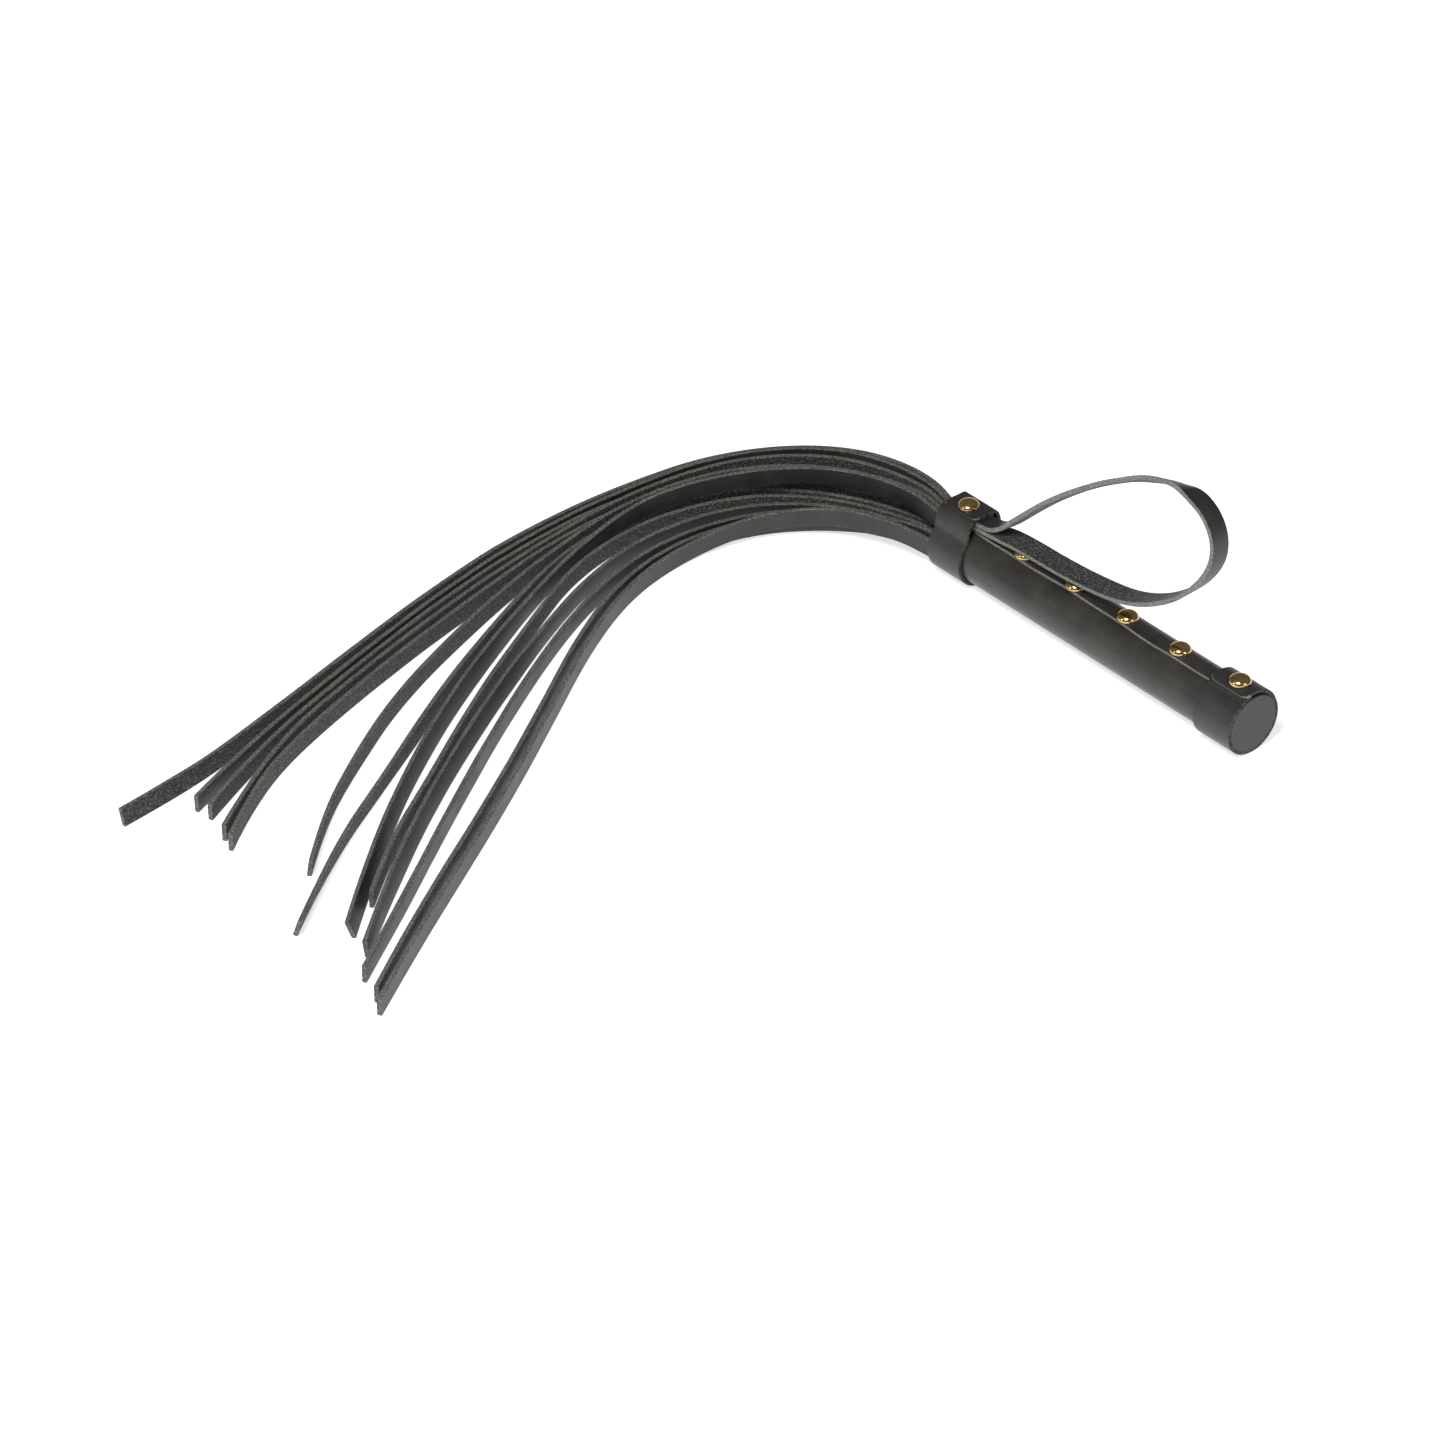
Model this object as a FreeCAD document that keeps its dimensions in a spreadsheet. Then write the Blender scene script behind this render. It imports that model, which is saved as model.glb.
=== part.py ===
import FreeCAD, Part

import math
import os

import Sketcher

from FreeCAD import Placement, Rotation, Vector

# Short-handled leather riding crop with thirteen long leather falls and a wrist loop.
#
# Frame, in millimetres: the origin is the centre of the butt face, +X points out of that
# face along the handle's axis, +Z is up.  The handle lies from x = 0 back to the mouth of
# the front collar, the falls leave the mouth towards -X and bend round towards -Y, and
# the end collar and the falls rest on the plane z = -collar_outer_radius.

os.makedirs("parts", exist_ok=True)
doc = FreeCAD.newDocument("riding_crop")

# ---------------------------------------------------------------- driving dimensions

DIMENSIONS = [
    ("handle_length", 182.0, "butt face to the mouth of the front collar"),
    ("grip_radius", 12.5, "outside of the wrapped grip"),
    ("wrap_leather", 2.2, "leather of the grip's wrap"),
    ("wrap_front_gap", 14.0, "mouth of the front collar to the front end of the wrap"),
    ("lap_rise", 1.0, "how far the wrap's lapped edge stands above the grip"),
    ("lap_start_angle", 18.0, "cut edge of the lap, from straight up towards -Y"),
    ("lap_sweep_angle", 54.0, "how far round the lap goes back towards +Y"),
    ("band_leather", 1.8, "leather of both collars"),
    ("end_band_length", 21.0, "end collar along the handle"),
    ("front_band_length", 20.0, "front collar along the handle"),
    ("band_lap_leather", 1.3, "the collars' lapped ends, pared thinner"),
    ("band_lap_angle", 22.0, "cut edge of a collar's lap, from straight up towards -Y"),
    ("band_lap_sweep", 64.0, "how far round the end collar's lap goes back towards +Y"),
    ("cap_radius", 13.2, "leather disc that closes the butt"),
    ("cap_leather", 3.0, "thickness of that disc"),
    ("cap_round", 0.8, "rounding of its rim"),
    ("dome_radius", 4.75, "head of a dome nail"),
    ("dome_height", 3.0, "height of its head"),
    ("shank_radius", 0.9, "shank of a dome nail"),
    ("shank_length", 9.0, "length of its shank"),
    ("nail_pitch", 31.0, "distance between the seam's nails"),
    ("first_nail", 43.5, "butt face to the first nail of the seam"),
    ("end_nail", 9.0, "butt face to the end collar's nail"),
    ("front_nail", 10.0, "mouth of the front collar to its nail"),
    ("strap_width", 9.2, "wrist loop"),
    ("strap_leather", 2.1, "wrist loop"),
    ("strap_gap", 2.5, "end of the fixed strap ends to the start of the free loop"),
    ("tongue_width", 9.0, "flat tongue of the dowel, between the falls' roots"),
    ("tongue_thickness", 4.4, "the same"),
    ("tongue_length", 13.0, "the same"),
    ("fall_width", 8.4, "one fall"),
    ("fall_leather", 2.0, "one fall"),
    ("root_gap", 0.7, "end of a fall's root to the start of its free length"),
]

sheet = doc.addObject("Spreadsheet::Sheet", "Dimensions")
for row, (alias, value, meaning) in enumerate(DIMENSIONS, start=1):
    sheet.set(f"A{row}", meaning)
    sheet.set(f"B{row}", str(value))
    sheet.setAlias(f"B{row}", alias)
doc.recompute()


def size(alias):
    """The sheet's value for one alias."""
    return float(getattr(sheet, alias))


def bind(obj, **expressions):
    """Ties an object's properties to expressions on the sheet's aliases."""
    for name, expression in expressions.items():
        for alias, _, _ in DIMENSIONS:
            expression = expression.replace(f"<{alias}>", f"Dimensions.{alias}")
        obj.setExpression(name, expression)


MOUTH = -size("handle_length")
WRAP_FRONT = MOUTH + size("wrap_front_gap")
WRAP_BACK = -size("cap_leather")
COLLAR_RADIUS = size("grip_radius") + size("band_leather")
FLOOR = -COLLAR_RADIUS
LAP_RADIUS = size("grip_radius") + size("lap_rise")
# A cylinder that lies along +X, whose own +X points straight up: its sectors start at the
# top of the handle and open towards -Y.
ALONG_HANDLE = Rotation(Vector(0, 0, 1), Vector(0, -1, 0), Vector(1, 0, 0), "ZXY")
STRIP_FACET = 6.0            # largest turn, in degrees, between two sections of a strip
ARC_SHARE = 0.45             # how much of the shorter run an arc takes up

finished = {}


def keep(name, obj):
    """Registers an object as one named sub-part."""
    obj.Label = name
    finished[name] = obj
    return obj


def tube_along(name, start, length, radius, angle=None, turn=None):
    """A cylinder or sector of one along the handle; sizes are expressions."""
    solid = doc.addObject("Part::Cylinder", name)
    solid.Placement = Placement(Vector(start, 0, 0), ALONG_HANDLE)
    bind(solid, Radius=radius, Height=length)
    if angle is not None:
        bind(solid, Angle=angle)
        spin = Placement(Vector(0, 0, 0), Rotation(Vector(1, 0, 0), turn))
        solid.Placement = spin.multiply(solid.Placement)
    return solid


def box_at(name, corner, length, width, height):
    """A box on the handle; its corner is a vector, its sizes are expressions."""
    solid = doc.addObject("Part::Box", name)
    solid.Placement = Placement(corner, Rotation())
    bind(solid, Length=length, Width=width, Height=height)
    return solid


def fused(name, *shapes):
    """One shape made of several."""
    joined = doc.addObject("Part::MultiFuse", name)
    joined.Shapes = list(shapes)
    return joined


def cut(name, base, tool):
    """The base with the tool taken away."""
    result = doc.addObject("Part::Cut", name)
    result.Base = base
    result.Tool = tool
    return result


def origin_plane(body, role):
    """One of a body's own origin planes, by its role."""
    for feature in body.Origin.OriginFeatures:
        if feature.Role == role:
            return feature
    raise ValueError(role)


def sketch_on(body, name, role):
    sketch = body.newObject("Sketcher::SketchObject", name)
    sketch.AttachmentSupport = [(origin_plane(body, role), "")]
    sketch.MapMode = "FlatFace"
    return sketch


def closed_outline(sketch, corners):
    """Straight edges through the corners, joined end to end."""
    count = len(corners)
    for index in range(count):
        first = Vector(*corners[index], 0)
        second = Vector(*corners[(index + 1) % count], 0)
        sketch.addGeometry(Part.LineSegment(first, second), False)
    for index in range(count):
        sketch.addConstraint(Sketcher.Constraint("Coincident", index, 2, (index + 1) % count, 1))


def named_length(sketch, kind, reference, name, expression):
    """A driving length of a sketch, bound to the sheet."""
    index = sketch.addConstraint(Sketcher.Constraint(kind, *reference))
    sketch.renameConstraint(index, name)
    bind(sketch, **{f"Constraints.{name}": expression})


# ---------------------------------------------------------------- handle


def revolved(body, profile):
    turned = body.newObject("PartDesign::Revolution", f"{profile.Name}_turn")
    turned.Profile = (profile, [""])
    turned.ReferenceAxis = (profile, ["H_Axis"])
    turned.Angle = 360.0
    body.Tip = turned
    return turned


def rectangle_profile(body, name, start, end, radius, length_expression, radius_expression):
    """A rectangle in the XY plane that stands on the X axis, from start to end."""
    profile = sketch_on(body, name, "XY_Plane")
    closed_outline(profile, [(start, 0), (end, 0), (end, radius), (start, radius)])
    profile.addConstraint(Sketcher.Constraint("Horizontal", 0))
    profile.addConstraint(Sketcher.Constraint("Vertical", 1))
    profile.addConstraint(Sketcher.Constraint("Horizontal", 2))
    profile.addConstraint(Sketcher.Constraint("Vertical", 3))
    profile.addConstraint(Sketcher.Constraint("PointOnObject", 0, 1, -1))
    named_length(profile, "DistanceX", (0, 1, 0, 2, abs(end - start)), "long", length_expression)
    named_length(profile, "DistanceY", (1, 1, 1, 2, radius), "high", radius_expression)
    return profile


def make_handle_core():
    """Turned wooden dowel with a flat tongue that the falls' roots are held against."""
    dowel = tube_along(
        "core_dowel", WRAP_FRONT, "<handle_length> - <wrap_front_gap> - <cap_leather>",
        "<grip_radius> - <wrap_leather>")
    corner = Vector(
        WRAP_FRONT - size("tongue_length"), -size("tongue_width") / 2,
        -size("tongue_thickness") / 2)
    tongue = box_at(
        "core_tongue", corner, "<tongue_length> + 1", "<tongue_width>", "<tongue_thickness>")
    return keep("handle_core", fused("HandleCore", dowel, tongue))


def make_grip_wrap():
    """Leather wrapped once round the dowel, its edge lapped along the top."""
    long = "<handle_length> - <wrap_front_gap> - <cap_leather>"
    skin = tube_along("wrap_skin", WRAP_FRONT, long, "<grip_radius>")
    lap = tube_along(
        "wrap_lap", WRAP_FRONT, long, "<grip_radius> + <lap_rise>", "<lap_sweep_angle>",
        size("lap_start_angle") - size("lap_sweep_angle"),
    )
    bore = tube_along("wrap_bore", WRAP_FRONT, long, "<grip_radius> - <wrap_leather>")
    return keep("grip_wrap", cut("GripWrap", fused("wrap_layers", skin, lap), bore))


def make_end_collar():
    """Leather band round the butt, its lapped end nailed on top."""
    start = -size("end_band_length")
    long = "<end_band_length>"
    turn = size("band_lap_angle") - size("band_lap_sweep")
    outer = fused(
        "end_band_layers",
        tube_along("end_band", start, long, "<grip_radius> + <band_leather>"),
        tube_along(
            "end_band_lap", start, long,
            "<grip_radius> + <lap_rise> + 2 * <band_lap_leather>", "<band_lap_sweep>", turn),
    )
    inner = fused(
        "end_band_room",
        tube_along("end_band_bore", start, long, "<grip_radius>"),
        tube_along(
            "end_band_lap_bore", start, long, "<grip_radius> + <lap_rise>",
            "<lap_sweep_angle>", size("lap_start_angle") - size("lap_sweep_angle")),
        tube_along("end_band_cap_bore", WRAP_BACK, "<cap_leather>", "<cap_radius>"),
    )
    return keep("end_collar", cut("EndCollar", outer, inner))


def make_end_cap():
    """Thick leather disc that closes the butt, flush with the end collar."""
    body = doc.addObject("PartDesign::Body", "EndCap")
    profile = rectangle_profile(
        body, "cap_profile", WRAP_BACK, 0, size("cap_radius"), "<cap_leather>", "<cap_radius>")
    turned = revolved(body, profile)
    doc.recompute()
    rim = [
        f"Edge{index}" for index, edge in enumerate(turned.Shape.Edges, start=1)
        if edge.BoundBox.XLength < 0.01 and abs(edge.BoundBox.XMax) < 0.01
        and edge.BoundBox.YLength > size("cap_radius")
    ]
    rounded = body.newObject("PartDesign::Fillet", "cap_rim")
    rounded.Base = (turned, rim)
    bind(rounded, Radius="<cap_round>")
    body.Tip = rounded
    return keep("end_cap", body)


CLEARANCE = 0.1                                       # between two layers of leather
ARCH_SIDE = 0.3                                       # room beside the strap ends
LAP_PARED = 0.5                                       # taken off the front collar's lap
STRAP_BED = LAP_RADIUS + CLEARANCE                    # underside of the lower strap end
STRAP_STACK = 2 * size("strap_leather") + CLEARANCE   # two strap ends on each other
ARCH_TOP = STRAP_BED + STRAP_STACK + CLEARANCE        # ceiling of the front collar's arch


def make_front_collar():
    """Leather band over the falls' roots, arched over the two strap ends."""
    long = "<front_band_length>"
    arch_half = size("strap_width") / 2 + ARCH_SIDE
    leather = size("band_leather")
    lap = size("band_lap_leather")
    outer = fused(
        "front_band_layers",
        tube_along("front_band", MOUTH, long, "<grip_radius> + <band_leather>"),
        box_at(
            "front_arch", Vector(MOUTH, -arch_half - leather, 0), long,
            f"<strap_width> + {2 * ARCH_SIDE} + 2 * <band_leather>", str(ARCH_TOP + lap)),
        box_at(
            "front_lap", Vector(MOUTH, -arch_half - leather / 2, ARCH_TOP), long,
            f"<strap_width> + {2 * ARCH_SIDE} + <band_leather>", str(2 * lap - LAP_PARED)),
    )
    inner = fused(
        "front_band_room",
        tube_along("front_band_bore", MOUTH, long, "<grip_radius>"),
        tube_along(
            "front_band_lap_bore", MOUTH, long, "<grip_radius> + <lap_rise>",
            "<lap_sweep_angle>", size("lap_start_angle") - size("lap_sweep_angle")),
        box_at(
            "front_arch_bore", Vector(MOUTH, -arch_half, 0), long,
            f"<strap_width> + {2 * ARCH_SIDE}", str(ARCH_TOP)),
    )
    return keep("front_collar", cut("FrontCollar", outer, inner))


END_NAIL_SEAT = size("grip_radius") + size("lap_rise") + 2 * size("band_lap_leather")
SEAM_NAILS = 4
FRONT_NAIL_SEAT = ARCH_TOP + 2 * size("band_lap_leather") - LAP_PARED


def dome_nail(name):
    """Upholstery nail: a shallow dome on a plain shank, its seat at z = 0."""
    body = doc.addObject("PartDesign::Body", name)
    profile = sketch_on(body, f"{name}_profile", "XZ_Plane")
    radius = size("dome_radius")
    height = size("dome_height")
    shank = size("shank_radius")
    depth = size("shank_length")
    ball = (radius ** 2 + height ** 2) / (2 * height)
    middle_angle = math.radians(90) - 0.5 * math.asin(radius / ball)
    middle = Vector(ball * math.cos(middle_angle), height - ball + ball * math.sin(middle_angle), 0)
    corners = [(0, height), (0, -depth), (shank, -depth + shank), (shank, 0), (radius, 0)]
    for first, second in zip(corners[:-1], corners[1:]):
        profile.addGeometry(Part.LineSegment(Vector(*first, 0), Vector(*second, 0)), False)
    rim = Vector(radius, 0, 0)
    top = Vector(0, height, 0)
    profile.addGeometry(Part.Arc(rim, middle, top), False)
    for index in range(3):
        profile.addConstraint(Sketcher.Constraint("Coincident", index, 2, index + 1, 1))
    profile.addConstraint(Sketcher.Constraint("Coincident", 3, 2, 4, 1))
    profile.addConstraint(Sketcher.Constraint("Coincident", 4, 2, 0, 1))
    profile.addConstraint(Sketcher.Constraint("PointOnObject", 0, 1, -2))
    profile.addConstraint(Sketcher.Constraint("PointOnObject", 0, 2, -2))
    profile.addConstraint(Sketcher.Constraint("PointOnObject", 3, 1, -1))
    profile.addConstraint(Sketcher.Constraint("PointOnObject", 3, 2, -1))
    profile.addConstraint(Sketcher.Constraint("Vertical", 2))
    named_length(profile, "DistanceX", (-1, 1, 3, 2, radius), "dome_r", "<dome_radius>")
    named_length(profile, "DistanceY", (-1, 1, 0, 1, height), "dome_h", "<dome_height>")
    named_length(profile, "DistanceX", (-1, 1, 3, 1, shank), "shank_r", "<shank_radius>")
    named_length(profile, "DistanceY", (0, 2, -1, 1, depth), "shank_l", "<shank_length>")
    named_length(profile, "DistanceY", (2, 1, 2, 2, depth - shank), "shank_s",
                 "<shank_length> - <shank_radius>")
    turned = body.newObject("PartDesign::Revolution", f"{name}_turn")
    turned.Profile = (profile, [""])
    turned.ReferenceAxis = (profile, ["V_Axis"])
    turned.Angle = 360.0
    body.Tip = turned
    return body


def make_nails():
    """One nail in each collar and a row of four along the lap."""
    end = dome_nail("EndCollarNail")
    end.Placement = Placement(Vector(-size("end_nail"), 0, END_NAIL_SEAT), Rotation())
    keep("end_collar_nail", end)
    front = dome_nail("FrontCollarNail")
    front.Placement = Placement(
        Vector(MOUTH + size("front_nail"), 0, FRONT_NAIL_SEAT), Rotation())
    keep("front_collar_nail", front)
    for number in range(1, SEAM_NAILS + 1):
        nail = dome_nail(f"SeamNail{number}")
        place = -size("first_nail") - (number - 1) * size("nail_pitch")
        nail.Placement = Placement(Vector(place, 0, LAP_RADIUS), Rotation())
        keep(f"seam_nail_{number}", nail)


# ---------------------------------------------------------------- strips of leather


def rounded_route(route):
    """Straight runs joined by tangent arcs, as stations of (point, tangent).

    Returns the stations, the length along them and the smallest radius."""
    points = [Vector(*point) for point in route]
    stations = [(points[0], (points[1] - points[0]).normalize())]
    smallest = float("inf")
    for index in range(1, len(points) - 1):
        here = points[index]
        into = here - points[index - 1]
        out_of = points[index + 1] - here
        reach = ARC_SHARE * min(into.Length, out_of.Length)
        before = Vector(into).normalize()
        after = Vector(out_of).normalize()
        turn = before.getAngle(after)
        radius = reach / math.tan(turn / 2)
        smallest = min(smallest, radius)
        centre_way = (after - before).normalize()
        centre = here + centre_way * (radius / math.cos(turn / 2))
        start = here - before * reach
        axis = before.cross(after).normalize()
        steps = max(1, math.ceil(math.degrees(turn) / STRIP_FACET))
        for step in range(steps + 1):
            share = step / steps
            spin = Rotation(axis, math.degrees(turn) * share)
            point = centre + spin.multVec(start - centre)
            stations.append((point, spin.multVec(before)))
    stations.append((points[-1], (points[-1] - points[-2]).normalize()))
    length = sum((b[0] - a[0]).Length for a, b in zip(stations[:-1], stations[1:]))
    return stations, length, smallest


def flat_faces(corners):
    """One flat face through four corners, or two where they don't lie flat."""
    first, second, third, fourth = corners
    normal = (second - first).cross(fourth - first)
    if abs(normal.dot(third - first)) < 1e-6 * normal.Length:
        return [Part.Face(Part.makePolygon([first, second, third, fourth, first]))]
    return [
        Part.Face(Part.makePolygon([first, second, third, first])),
        Part.Face(Part.makePolygon([first, third, fourth, first])),
    ]


def strip_between(stations, upright, width, leather):
    """A strip of leather whose width points along upright, made of flat faces."""
    sections = []
    for point, tangent in stations:
        side = tangent.cross(upright).normalize()
        up = side.cross(tangent).normalize()
        half_up = up * (width / 2)
        half_side = side * (leather / 2)
        sections.append([
            point - half_up - half_side, point - half_up + half_side,
            point + half_up + half_side, point + half_up - half_side,
        ])
    faces = flat_faces(list(reversed(sections[0])))
    for first, second in zip(sections[:-1], sections[1:]):
        for index in range(4):
            following = (index + 1) % 4
            faces += flat_faces(
                [first[index], first[following], second[following], second[index]])
    faces += flat_faces(sections[-1])
    solid = Part.makeSolid(Part.makeShell(faces))
    if solid.Volume < 0:
        solid.reverse()
    return solid


# Each fall's route, from its place in the mouth of the front collar to its tip, listed
# from the near side of the bunch to the far side.  All of them stand on edge.
LIES = FLOOR + size("fall_width") / 2        # middle of a fall that stands on the floor
START = MOUTH - 1.2                          # where a fall's free length begins
FALL_ROUTES = [
    [(START, -8.2, -4.2), (-206, -13, -2.5), (-232, -26, -2.5), (-252, -52, -6),
     (-258, -88, LIES), (-250, -124, LIES), (-228, -165, LIES), (-195, -213, LIES),
     (-157, -272, LIES), (-122, -331, LIES), (-93, -376, LIES)],
    [(START, -5.85, -0.9), (-206, -9.5, -3.3), (-235, -24, -8.5), (-255, -49, LIES),
     (-262, -87, LIES), (-254, -126, LIES), (-232, -167, LIES), (-199, -215, LIES),
     (-162, -273, LIES), (-128, -330, LIES), (-100, -372, LIES)],
    [(START, -3.5, -6.6), (-207, -5.5, -7.8), (-238, -20, -10), (-259, -47, LIES),
     (-267, -87, LIES), (-260, -127, LIES), (-242, -168, LIES), (-212, -220, LIES),
     (-172, -281, LIES), (-136, -333, LIES), (-113, -368, LIES)],
    [(START, -1.15, -6.9), (-207, -2.5, -8), (-242, -17, -10), (-266, -45, LIES),
     (-275, -86, LIES), (-268, -128, LIES), (-248, -172, LIES), (-219, -226, LIES),
     (-182, -285, LIES), (-149, -329, LIES), (-125, -358, LIES)],
    [(START, 1.2, -7), (-208, 0.5, -8.2), (-246, -13, -10), (-273, -42, LIES),
     (-284, -85, LIES), (-278, -129, LIES), (-256, -171, LIES), (-228, -222, LIES),
     (-194, -274, LIES), (-171, -311, LIES), (-149, -337, LIES)],
    [(START, -3.5, 6.4), (-210, 1.5, 6.2), (-247, -11, 4.6), (-272, -43, 3.5),
     (-288, -83, -1), (-283, -127, -8), (-265, -172, LIES), (-238, -224, LIES),
     (-204, -277, LIES), (-166, -325, LIES), (-139, -355, LIES)],
    [(START, 3.55, -6.6), (-208, 4.5, -8), (-249, -10, -10), (-279, -40, LIES),
     (-292, -84, LIES), (-288, -128, LIES), (-269, -174, LIES), (-243, -227, LIES),
     (-211, -281, LIES), (-182, -332, LIES), (-153, -370, LIES)],
    [(START, -1.15, 6.9), (-209, 5.5, 4.6), (-251, -7, 1.5), (-282, -38, -1.5),
     (-296, -83, -6), (-292, -130, LIES), (-277, -181, LIES), (-252, -244, LIES),
     (-224, -290, LIES), (-202, -321, LIES), (-181, -343, LIES)],
    [(START, 5.9, -6), (-209, 8.5, -7.2), (-252, -5, -9.6), (-285, -36, LIES),
     (-299, -83, LIES), (-296, -132, LIES), (-285, -180, LIES), (-270, -240, LIES),
     (-250, -302, LIES), (-232, -335, LIES), (-215, -357, LIES)],
    [(START, 1.2, 7), (-211, 8.5, 6), (-256, -1, 2.5), (-288, -33, -2),
     (-302, -82, -7.5), (-299, -133, LIES), (-289, -185, LIES), (-273, -247, LIES),
     (-253, -310, LIES), (-222, -355, LIES)],
    [(START, 8.25, -3.6), (-211, 13, -5.2), (-257, 3, -9), (-291, -31, LIES),
     (-305, -81, LIES), (-303, -134, LIES), (-293, -188, LIES), (-276, -251, LIES),
     (-256, -313, LIES), (-237, -351, LIES)],
    [(START, 3.55, 6.4), (-213, 14, 5), (-260, 7, 1), (-294, -28, -3.5),
     (-308, -80, -9), (-307, -136, LIES), (-296, -192, LIES), (-279, -255, LIES),
     (-260, -316, LIES), (-245, -352, LIES)],
    [(START, 6, 5.3), (-216, 18, 4), (-262, 12, -1.5), (-298, -25, -6),
     (-312, -79, LIES), (-311, -138, LIES), (-300, -195, LIES), (-283, -259, LIES),
     (-266, -319, LIES), (-260, -350, LIES), (-257, -380, LIES)],
]


def make_falls():
    """Thirteen free falls, and their roots inside the front collar."""
    width = size("fall_width")
    leather = size("fall_leather")
    for number, route in enumerate(FALL_ROUTES, start=1):
        stations, length, radius = rounded_route(route)
        solid = strip_between(stations, Vector(0, 0, 1), width, leather)
        flat = width * leather * length
        print(f"fall_{number:02d} length {length:.0f} smallest radius {radius:.0f} "
              f"volume/(section*length) {solid.Volume / flat:.3f}")
        fall = doc.addObject("Part::Feature", f"Fall{number:02d}")
        fall.Shape = solid
        keep(f"fall_{number:02d}", fall)
        _, across, height = route[0]
        back = START + size("root_gap")
        root = box_at(
            f"FallRoot{number:02d}", Vector(back, across - leather / 2, height - width / 2),
            str(WRAP_FRONT - back), "<fall_leather>", "<fall_width>")
        keep(f"fall_root_{number:02d}", root)


# The wrist loop's route, from the lower strap end out along the handle, round the far
# end of the loop and back to the upper strap end; its width points along Y.
LOOP_LOW = STRAP_BED + size("strap_leather") / 2
LOOP_HIGH = LOOP_LOW + size("strap_leather") + CLEARANCE
LOOP_FRONT = MOUTH + size("front_band_length") + size("strap_gap")
LOOP_ROUTE = [
    (LOOP_FRONT, 0, LOOP_LOW), (-149, 0, 16.9), (-135, 0, 18.4), (-112, 0, 18.6),
    (-90, 0, 20.6), (-72, 0, 24), (-56, 0, 31.5), (-42.5, 0, 41.5), (-31.5, 0, 54),
    (-25, 0, 67), (-25.5, 0, 79), (-33, 0, 88.5), (-47, 0, 92), (-66, 0, 86.5),
    (-92, 0, 71.5), (-118, 0, 51.5), (-139, 0, 31), (-149, 0, 20.4),
    (LOOP_FRONT, 0, LOOP_HIGH),
]


def make_wrist_loop():
    """Free loop of one flat strap, and its two ends under the front collar."""
    width = size("strap_width")
    leather = size("strap_leather")
    stations, length, radius = rounded_route(LOOP_ROUTE)
    solid = strip_between(stations, Vector(0, 1, 0), width, leather)
    print(f"wrist_loop length {length:.0f} smallest radius {radius:.0f} "
          f"volume/(section*length) {solid.Volume / (width * leather * length):.3f}")
    loop = doc.addObject("Part::Feature", "WristLoop")
    loop.Shape = solid
    keep("wrist_loop", loop)
    for place, middle in (("lower", LOOP_LOW), ("upper", LOOP_HIGH)):
        corner = Vector(MOUTH, -width / 2, middle - leather / 2)
        end = box_at(
            f"LoopEnd_{place}", corner, "<front_band_length>", "<strap_width>",
            "<strap_leather>")
        keep(f"loop_end_{place}", end)


# ---------------------------------------------------------------- build and write

make_handle_core()
make_grip_wrap()
make_end_collar()
make_end_cap()
make_front_collar()
make_nails()
make_falls()
make_wrist_loop()
doc.recompute()

for obj in doc.Objects:
    if "Invalid" in obj.State or "Error" in obj.State:
        raise RuntimeError(f"{obj.Name} failed: {obj.State}")
for name, obj in finished.items():
    shape = obj.Shape
    if shape.isNull() or not shape.isValid():
        raise RuntimeError(f"{name} has no valid shape")
    if not shape.Solids:
        raise RuntimeError(f"{name} holds no solid")
for name, obj in finished.items():
    obj.Shape.exportStep(f"parts/{name}.step")
    box = obj.Shape.BoundBox
    print(f"{name}: {len(obj.Shape.Solids)} solid(s), {obj.Shape.Volume:.0f} mm3, "
          f"x {box.XMin:.1f}..{box.XMax:.1f} y {box.YMin:.1f}..{box.YMax:.1f} "
          f"z {box.ZMin:.1f}..{box.ZMax:.1f}")
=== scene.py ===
import math

import bpy
from mathutils import Matrix, Quaternion, Vector


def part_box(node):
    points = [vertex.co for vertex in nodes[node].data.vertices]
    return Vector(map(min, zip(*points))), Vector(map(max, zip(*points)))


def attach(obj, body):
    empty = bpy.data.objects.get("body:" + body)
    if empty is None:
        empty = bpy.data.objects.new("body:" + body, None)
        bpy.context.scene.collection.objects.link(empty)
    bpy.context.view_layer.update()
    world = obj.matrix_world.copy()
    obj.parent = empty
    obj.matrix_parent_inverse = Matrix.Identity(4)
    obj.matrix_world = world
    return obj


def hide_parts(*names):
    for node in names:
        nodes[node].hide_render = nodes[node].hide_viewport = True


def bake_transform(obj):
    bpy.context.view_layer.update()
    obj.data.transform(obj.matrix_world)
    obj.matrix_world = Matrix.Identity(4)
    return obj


# Looks of the riding crop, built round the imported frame.  Places are in the row frame:
# the butt's face is at x = 0, the falls leave the handle towards -X, and +Z is up.
# Sizes are given in millimetres and multiplied by MM.

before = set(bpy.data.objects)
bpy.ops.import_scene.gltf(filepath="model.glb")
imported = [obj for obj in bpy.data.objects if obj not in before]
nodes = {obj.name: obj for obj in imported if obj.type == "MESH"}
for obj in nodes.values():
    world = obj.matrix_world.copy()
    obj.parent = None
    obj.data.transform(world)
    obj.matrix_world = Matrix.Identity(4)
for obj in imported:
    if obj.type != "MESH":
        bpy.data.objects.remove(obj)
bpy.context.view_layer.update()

MM = 0.001


# ---------------------------------------------------------------- sizes from the frame


def low(node):
    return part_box(node)[0]


def high(node):
    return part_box(node)[1]


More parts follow.
